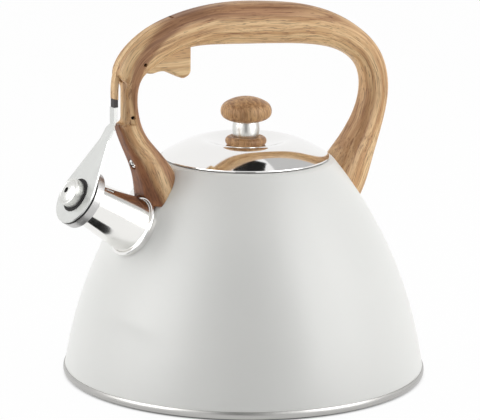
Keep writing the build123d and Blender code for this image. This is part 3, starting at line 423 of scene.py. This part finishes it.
# %% Steels and aluminium
mirror = marked_finish("polished_steel", grit, gritty(60.0, 2500.0, 0.05, 0.10),
                       [(236, 235, 234), (242, 241, 239)], 0.01, Metallic=1.0)
buffed = marked_finish("buffed_steel", grit, gritty(50.0, 2200.0, 0.11, 0.17),
                       [(236, 235, 232), (243, 242, 239)], 0.015, Metallic=1.0)
drawn_steel = marked_finish("drawn_steel", grit, gritty(90.0, 2400.0, 0.30, 0.38),
                            [(212, 212, 209), (222, 222, 218)], 0.02, Metallic=1.0)
rim = marked_finish("brushed_base", brush, brushed((25.0, 25.0, 2600.0), 0.26, 0.42),
                    [(156, 155, 153), (194, 193, 190)], 0.08, Metallic=1.0)
satin = marked_finish("satin_arm", brush, brushed((30.0, 2400.0, 30.0), 0.30, 0.44),
                      [(202, 203, 201), (219, 220, 217)], 0.05, Metallic=1.0)
mill = marked_finish("mill_steel", grit, gritty(140.0, 3000.0, 0.28, 0.42),
                     [(184, 183, 182), (208, 207, 206)], 0.05, Metallic=1.0)
blacked = marked_finish("blackened_pin", grit, gritty(400.0, 4000.0, 0.5, 0.65),
                        [(30, 26, 24), (44, 38, 35)], Metallic=1.0)
alloy = marked_finish("dull_alloy", brush, brushed((400.0, 30.0, 400.0), 0.45, 0.6),
                      [(168, 169, 171), (190, 191, 193)], Metallic=1.0)
print("steels 7 and", alloy.name)

# %% [markdown]
# ## Black nylon and rubber
# The lever's bare end is moulded nylon, and the ring and gasket of the whistle are
# rubber.  Both are nearly black.  The nylon is a little glossier, the rubber quite matt.

# %% Nylon and rubber
nylon = marked_finish("black_nylon", grit, gritty(200.0, 2600.0, 0.45, 0.58),
                      [(44, 40, 40), (58, 53, 53)], 0.15, Specular_IOR_Level=0.4)
rubber = marked_finish("black_rubber", grit, gritty(160.0, 1800.0, 0.6, 0.75),
                       [(24, 22, 22), (36, 33, 33)], 0.1, Specular_IOR_Level=0.3)
print("finish", nylon.name, rubber.name)

# %% [markdown]
# ## Wood print on straight pieces
# The trigger's grain runs along X, and the knob's and rosette's upright.  Object
# coordinates in another order are all the print needs to turn its grain.

# %% Straight wood
def print_wood(tree, shader, sockets):
    film = put(tree, "ShaderNodeGroup", sockets, node_tree=wood).outputs
    dress(tree, shader, film["Color"], film["Rough"], film["Height"], 0.12, 0.0002)


def straight_wood(name, order, shift, light, mid, dark):
    material, tree, shader = finish(name, Specular_IOR_Level=0.35)
    parts = put(tree, "ShaderNodeSeparateXYZ", {0: object_place(tree)}).outputs
    turned = dict(zip("XYZ", [parts[axis] for axis in order]))
    grain = put(tree, "ShaderNodeCombineXYZ", turned).outputs[0]
    print_wood(tree, shader, {"Grain": grain, "Shift": shift, "Light": srgb(*light), "Mid": srgb(*mid),
                              "Dark": srgb(*dark)})
    return material


trigger_wood = straight_wood("wood_trigger", "XZY", 0.31, (232, 200, 151), (202, 160, 112), (112, 76, 52))
knob_wood = straight_wood("wood_knob", "ZXY", 0.52, (204, 162, 113), (156, 113, 74), (98, 62, 41))
print("finish", trigger_wood.name, knob_wood.name)

# %% [markdown]
# ## Drawn lines
# Two things in this lesson start from a line in the plane Y = 0: the middle of the arch,
# and the outlines of turned pieces.  A Bezier curve is drawn and turned into a plain
# chain of vertices.  Its places are X and Z in millimetres.  A knot is one place, or one
# place between its two handles.

# %% Drawn line
millimetres = 1000  # in a metre


def drawn_line(name, knots, resolution, handles):
    line = bpy.data.curves.new(name, "CURVE")
    line.dimensions = "3D"
    line.resolution_u = resolution
    spline = line.splines.new("BEZIER")
    spline.bezier_points.add(len(knots) - 1)
    for knot, places in zip(spline.bezier_points, knots):
        spots = [(x / millimetres, 0.0, z / millimetres) for x, z in places]
        knot.handle_left_type = knot.handle_right_type = handles
        knot.co = spots[len(spots) // 2]
        if handles == "FREE":
            knot.handle_left = spots[0]
            knot.handle_right = spots[-1]
    carrier = bpy.data.objects.new(name, line)
    scene.collection.objects.link(carrier)
    chain = bpy.data.meshes.new_from_object(carrier.evaluated_get(bpy.context.evaluated_depsgraph_get()))
    bpy.data.objects.remove(carrier)
    bpy.data.curves.remove(line)
    return chain


# %% [markdown]
# ## The print round the bend
# On the handle the print has to follow the arch.  A smooth curve through the middle of
# the arch gives a chain of points.  Every vertex of the handle then looks up its nearest
# point and keeps three lengths as an attribute: along the arch, away from its middle, and
# across.  The material reads that attribute in place of coordinates.

# %% Middle line of the arch
arch_places = [(-56.0, 103.4), (-61.8, 118.4), (-70.8, 140.0), (-77.3, 150.5), (-82.1, 163.0),
               (-83.8, 178.0), (-80.2, 192.5), (-71.4, 201.1), (-53.9, 210.3), (-19.0, 215.2),
               (14.0, 213.7), (45.5, 209.5), (72.9, 198.9), (86.4, 186.2), (91.2, 170.0),
               (87.5, 150.0), (77.9, 130.0), (68.2, 113.4), (61.8, 101.0)]
chain = drawn_line("arch_line", [[place] for place in arch_places], 24, "AUTO")
arch = [vertex.co.copy() for vertex in chain.vertices]
bpy.data.meshes.remove(chain)
lengths = [0.0]
for before, after in zip(arch, arch[1:]):
    lengths.append(lengths[-1] + (after - before).length)


def search_tree(points):
    found = KDTree(len(points))
    for number, point in enumerate(points):
        found.insert(point, number)
    found.balance()
    return found


nearest = search_tree(arch)
print("arch", len(arch), "points,", round(lengths[-1], 3), "m")

# %% Grain attribute
def follow_arch(data):
    grain = data.attributes.new("grain", "FLOAT_VECTOR", "POINT")
    for vertex, item in zip(data.vertices, grain.data):
        flat = Vector((vertex.co.x, 0.0, vertex.co.z))
        point, number, gap = nearest.find(flat)
        last = min(number + 1, len(arch) - 1)
        tangent = (arch[last] - arch[max(number - 1, 0)]).normalized()
        outward = Vector((-tangent.z, 0.0, tangent.x))
        away = flat - point
        item.vector = (lengths[number] + away.dot(tangent), away.dot(outward), vertex.co.y)


# %% [markdown]
# ## Easing the cut in the front leg
# The front leg is cut back behind the lever's end.  On a moulded handle such a cut has no
# hard line where it runs out into the side of the leg.  A bevel wants an edge of even
# depth, and these fade to nothing, so the triangles round the cut are split until they are
# small, and what lies close to a crease is smoothed.  The pin holes stay, and so does what
# fits round the trigger, the lever and the bracket.  Slots and pockets stay as well: there
# a short look straight out of the surface meets the handle again.

# %% Where the cut is
def corners(name):
    return [nodes[name].matrix_world @ Vector(corner) for corner in nodes[name].bound_box]


def box_round(name, room):
    ends = [(min(values) - room, max(values) + room) for values in zip(*corners(name))]
    return Vector(low for low, high in ends), Vector(high for low, high in ends)


def boxed(point, box):
    return all(low < value < high for low, value, high in zip(box[0], point, box[1]))


pin_middles = [sum(corners(name), Vector()) / 8 for name in ("leg_pin", "trigger_pin")]
pin_room = 0.0022
channel_half = max(corner.y for corner in corners("lever_bar")) + 0.0006
cut_box = (Vector((-0.100, -0.02, 0.150)), Vector((-0.060, 0.02, 0.202)))
fitted_boxes = [box_round("trigger", 0.002), box_round("front_bracket", 0.0003)]


def by_the_cut(point):
    from_pin = min((point - pin).xz.length for pin in pin_middles)
    free = abs(point.y) > channel_half and from_pin > pin_room
    return free and boxed(point, cut_box) and not any(boxed(point, box) for box in fitted_boxes)


print("channel half", round(channel_half, 4), "pins", len(pin_middles))

# %% Eased cut
small_edge = 0.0011
sliver = 4e-6
slot_width = 0.012
skin = 0.0001
crease_angle = radians(14)
crease_reach = 0.0036
split_rounds = 8
smooth_rounds = 26


def edge_middle(edge):
    return (edge.verts[0].co + edge.verts[1].co) / 2


def touches_cut(edge):
    return any(by_the_cut(point) for point in (edge.verts[0].co, edge_middle(edge), edge.verts[1].co))


def triangles_only(shape):
    bmesh.ops.triangulate(shape, faces=[face for face in shape.faces if len(face.verts) > 3])


def open_outwards(vert, walls):
    return walls.ray_cast(vert.co + vert.normal * skin, vert.normal, slot_width)[0] is None


def ease_cut(shape, kept):
    for split in range(split_rounds):
        long = [edge for edge in shape.edges if edge.calc_length() > small_edge and touches_cut(edge)]
        bmesh.ops.subdivide_edges(shape, edges=long, cuts=1)
        triangles_only(shape)
    bmesh.ops.dissolve_degenerate(shape, dist=sliver, edges=shape.edges)
    triangles_only(shape)
    shape.normal_update()
    walls = BVHTree.FromBMesh(shape)
    outer = [vert for vert in shape.verts if by_the_cut(vert.co) and open_outwards(vert, walls)]
    outer_set = set(outer)
    creases = [edge_middle(edge) for edge in shape.edges if len(edge.link_faces) == 2
               and edge.calc_face_angle() > crease_angle and outer_set.issuperset(edge.verts)]
    close = search_tree(creases)
    soft = [vert for vert in outer if close.find(vert.co)[2] < crease_reach]
    for smoothing in range(smooth_rounds):
        bmesh.ops.smooth_vert(shape, verts=soft, factor=0.5,
                              use_axis_x=True, use_axis_y=True, use_axis_z=True)
    shape.normal_update()
    for vert in soft:
        for loop in vert.link_loops:
            loop[kept] = vert.normal
    print("eased", len(soft), "vertices by", len(creases), "crease edges")


# %% [markdown]
# ## Copies of model pieces
# The handle and the lever's bar keep the model's shape, and need only the attribute and,
# on the handle, the eased cut.  A copy is merged first, and the model's own smooth normals
# are carried over the merge, because long thin triangles shade badly without them.

# %% A merged copy with the model's own normals
weld = 2e-6


def model_copy(name, change=None):
    source = nodes[name].data
    shape = bmesh.new()
    shape.from_mesh(source)
    kept = shape.loops.layers.float_vector.new("kept_normal")
    normals = iter([corner.vector.copy() for corner in source.corner_normals])
    for face in shape.faces:
        for loop in face.loops:
            loop[kept] = next(normals)
    bmesh.ops.remove_doubles(shape, verts=shape.verts, dist=weld)
    if change:
        change(shape, kept)
    data = bpy.data.meshes.new(name + "_dressed")
    shape.to_mesh(data)
    shape.free()
    kept_normals = [tuple(item.vector) for item in data.attributes["kept_normal"].data]
    data.attributes.remove(data.attributes["kept_normal"])
    data.normals_split_custom_set(kept_normals)
    return data


def add_piece(data, body, replaced, material):
    data.materials.clear()
    data.materials.append(material)
    piece = bpy.data.objects.new(data.name, data)
    scene.collection.objects.link(piece)
    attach(piece, body)
    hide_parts(replaced)
    print(piece.name, len(data.vertices), "vertices")


# %% [markdown]
# ## Wood film on the handle and the lever
# A brown band of heartwood runs slantwise through the print: from the inside of the
# front leg, through the bend, and out over the top of the grip.  The front face of the
# front leg, turned away from the lamps, gets painted shade, and the neck of the cut above
# it a faint painted shade; the inner face of the rear leg is browner too.  All are
# worked out from the arch lengths, and a little noise lets them wander.

# %% Wood film
stray = 0.005
neck_place = 0.077


def arch_wood(name, shift):
    material, tree, shader = finish(name, Specular_IOR_Level=0.3)

    def fading(value, start, end, strength):
        return span(tree, value, start, end, strength, 0.0, smooth=True)

    def both(one, other):
        return maths(tree, "MULTIPLY", one, other)

    def apart(one, other):
        return maths(tree, "ABSOLUTE", maths(tree, "SUBTRACT", one, other))

    def either(one, other):
        return maths(tree, "MAXIMUM", one, other)

    grain = put(tree, "ShaderNodeAttribute", attribute_name="grain").outputs["Vector"]
    parts = put(tree, "ShaderNodeSeparateXYZ", {0: grain}).outputs
    along = parts["X"]
    wander = noise(tree, vectors(tree, "MULTIPLY", grain, (30.0, 60.0, 60.0)), 1.0, 2.0)["Fac"]
    strayed = maths(tree, "SUBTRACT", maths(tree, "MULTIPLY_ADD", wander, stray, parts["Y"]), stray / 2)
    centre = span(tree, along, 0.065, 0.145, -0.0070, 0.0088, smooth=True)
    heart = both(fading(apart(strayed, centre), 0.0022, 0.0054, 0.80), fading(along, 0.19, 0.28, 1.0))
    # painted shade: the front face of the front leg is darkened as if it were in shadow
    face = both(fading(strayed, 0.0066, 0.0038, 1.0), fading(along, 0.066, 0.086, 1.0))
    inner = both(fading(strayed, -0.0040, 0.0005, 0.34), fading(along, 0.31, 0.27, 1.0))
    # painted shade: a faint darkening over the neck where the leg is cut back
    neck_painted_shade = fading(apart(along, neck_place), 0.012, 0.022, 0.1)
    # the heartwood band and the painted shade go into one share of brown
    heart_and_painted_shade = either(either(heart, face), either(inner, neck_painted_shade))
    print_wood(tree, shader, {"Grain": grain, "Heart and painted shade": heart_and_painted_shade, "Shift": shift})
    return material


wooden = (("handle", "kettle", 0.0, ease_cut), ("lever_bar", "whistle_lever", 0.17, None))
for name, body, shift, change in wooden:
    dressed = model_copy(name, change)
    follow_arch(dressed)
    add_piece(dressed, body, name, arch_wood("wood_" + name, shift))

# %% [markdown]
# ## Turned pieces
# The lid, the whistle and the screws are turned shapes: one drawn line, spun once round,
# gives all of each.  A Screw modifier would do as well, but the bmesh spin closes its own
# seam and leaves a plain mesh.  A place is the length out from the axis and the length
# along it.  A knot stands alone at a corner, and has its two handles where the line is round.

# %% Lathe
seam = 1e-6


def lathe(name, knots, steps, sheet=0.0):
    profile = drawn_line(name, knots, 10, "FREE")
    shape = bmesh.new()
    shape.from_mesh(profile)
    bpy.data.meshes.remove(profile)
    bmesh.ops.remove_doubles(shape, verts=shape.verts, dist=seam)
    bmesh.ops.spin(shape, geom=shape.verts[:] + shape.edges[:], axis=(0, 0, 1), cent=(0, 0, 0),
                   steps=steps, angle=2 * pi, use_merge=True)
    bmesh.ops.remove_doubles(shape, verts=shape.verts, dist=seam)
    bmesh.ops.recalc_face_normals(shape, faces=shape.faces)
    if sheet:
        bmesh.ops.solidify(shape, geom=shape.faces[:], thickness=sheet / millimetres)
    return shape


sharp_angle = radians(40)


def settled(shape, name, matrix=Matrix()):
    bmesh.ops.transform(shape, matrix=matrix, verts=shape.verts)
    for face in shape.faces:
        face.smooth = True
    data = bpy.data.meshes.new(name)
    shape.to_mesh(data)
    shape.free()
    data.set_sharp_from_angle(angle=sharp_angle)
    low = [round(min(v.co[i] for v in data.vertices) * millimetres, 2) for i in range(3)]
    high = [round(max(v.co[i] for v in data.vertices) * millimetres, 2) for i in range(3)]
    print(name, "from", low, "to", high)
    return data


# %% [markdown]
# ## The lid
# The lid is pressed from polished sheet: a rolled edge that hangs just clear of the rim,
# a flank that is steepest at the edge, a rounded crest, and a dish for the knob.  A flank
# with the least bulge in it mirrors the grip as a narrow leaf, where a straight cone
# would smear it down to the edge.

# %% Lid
lid_sheet = 0.8
lid_line = [[(49.4, 133.45)],
            [(49.4, 133.45), (49.95, 133.45), (50.15, 133.45)],
            [(50.28, 133.6), (50.28, 133.8), (50.28, 134.05)],
            [(50.2, 134.34), (49.9, 134.5), (42.7, 138.9)],
            [(33.2, 144.0), (27.35, 144.0), (22.5, 144.0)],
            [(17.4, 140.4), (12.4, 140.4), (12.4, 140.4)],
            [(2.45, 140.4)]]
lid = settled(lathe("lid_pressed", lid_line, 144, lid_sheet), "lid_pressed")
add_piece(lid, "lid", "lid_shell", mirror)

# %% [markdown]
# ## The whistle
# The barrel of the whistle is a small drawn cup with a rounded shoulder, a groove rolled
# just inside it, and a shallow dome with the sounding hole in its middle.  Its axis is
# the spout's own, 31 degrees above level.

# %% Whistle barrel
climb = radians(31)
spout_root = Vector((-0.07662, 0.0, 0.098))
spout_axis = Matrix(((sin(climb), 0.0, -cos(climb)), (0.0, 1.0, 0.0), (cos(climb), 0.0, sin(climb)))).to_4x4()
spout_axis.translation = spout_root
barrel_sheet = 0.6
barrel_line = [[(7.75, 44.5)],
               [(8.5, 44.5)],
               [(8.5, 50.08), (8.5, 50.23), (8.5, 50.78)],
               [(8.25, 51.15), (7.8, 51.18), (7.6, 51.2)],
               [(7.35, 51.18), (7.2, 50.98), (7.05, 50.78)],
               [(6.9, 50.83), (6.7, 51.13), (6.4, 51.48)],
               [(4.4, 52.6), (1.95, 52.8), (1.8, 52.8)],
               [(1.75, 52.75), (1.75, 52.6), (1.75, 52.3)],
               [(1.75, 51.8)]]
barrel = settled(lathe("whistle_barrel", barrel_line, 96, barrel_sheet), "whistle_barrel", spout_axis)
add_piece(barrel, "whistle_lever", "whistle_cup", drawn_steel)

# %% [markdown]
# ## The fixing screws
# Each leg is held by a round-headed screw in a counterbore.  The dome and the shank are
# turned, and the cross in the head is two bars taken out with a Boolean, which is applied
# at once so that the screw is a plain mesh.

# %% Screws
screw_line = [[(0.0, 0.7), (0.0, 0.7), (1.6, 0.7)],
              [(3.1, -0.3), (3.4, -1.5), (3.4, -1.7)],
              [(3.4, -3.4)],
              [(1.9, -3.4)],
              [(1.9, -13.2)],
              [(1.2, -13.9)],
              [(0.0, -13.9)]]
bar_length = 0.0038
bar_width = 0.0009
bar_height = 0.003
bar_middle = 0.0007


def cross_bars(matrix):
    shape = bmesh.new()
    for across, along in ((bar_width, bar_length), (bar_length, bar_width)):
        made = bmesh.ops.create_cube(shape, size=1.0)["verts"]
        bmesh.ops.scale(shape, vec=(across, along, bar_height), verts=made)
        bmesh.ops.translate(shape, vec=(0.0, 0.0, bar_middle), verts=made)
    bmesh.ops.transform(shape, matrix=matrix, verts=shape.verts)
    data = bpy.data.meshes.new("cross_bars")
    shape.to_mesh(data)
    shape.free()
    return data


def screw(name, head, inward):
    outward = -Vector(inward).normalized()
    across = Vector((0.0, 1.0, 0.0))
    matrix = Matrix((across.cross(outward), across, outward)).transposed().to_4x4()
    matrix.translation = Vector(head) / millimetres
    blank = bpy.data.objects.new(name + "_blank", settled(lathe(name, screw_line, 48), name, matrix))
    bars = bpy.data.objects.new(name + "_bars", cross_bars(matrix))
    for item in (blank, bars):
        scene.collection.objects.link(item)
    cut = blank.modifiers.new("cross", "BOOLEAN")
    cut.operation = "DIFFERENCE"
    cut.solver = "EXACT"
    cut.use_self = True
    cut.object = bars
    made = bpy.data.meshes.new_from_object(blank.evaluated_get(bpy.context.evaluated_depsgraph_get()))
    bpy.data.objects.remove(blank)
    bpy.data.objects.remove(bars)
    made.name = name + "_domed"
    made.set_sharp_from_angle(angle=sharp_angle)
    return made


for name, head, inward in (("front_screw", (-78.107, 0.0, 135.756), (0.8647, 0.0, 0.5022)),
                           ("rear_screw", (96.187, 0.0, 146.822), (-0.9391, 0.0, 0.3435))):
    add_piece(screw(name, head, inward), "kettle", name, mirror)

# %% [markdown]
# ## Handing the finishes out
# Pieces whose shape is right keep their model mesh, and only take a finish in their
# material slots.

# %% Finishes for the model's own pieces
finishes = {
    paint: ["body_shell"],
    rim: ["base_pan", "base_cap"],
    alloy: ["heat_spreader"],
    mirror: ["spout_collar"],
    buffed: ["spout_tube"],
    drawn_steel: ["knob_ferrule"],
    satin: ["whistle_arm"],
    mill: ["front_bracket", "rear_bracket", "lever_pin", "return_spring", "lid_skirt", "knob_washer",
           "knob_screw", "whistle_plate", "whistle_cap"],
    blacked: ["leg_pin", "trigger_pin"],
    nylon: ["lever_tongue"],
    rubber: ["whistle_gasket", "whistle_grommet"],
    trigger_wood: ["trigger"],
    knob_wood: ["knob", "knob_rosette"],
}
for material, names in finishes.items():
    for name in names:
        for slot in nodes[name].material_slots:
            slot.material = material
print("finished", sum(len(names) for names in finishes.values()), "nodes")

# %% View transform
scene.view_settings.view_transform = "Standard"
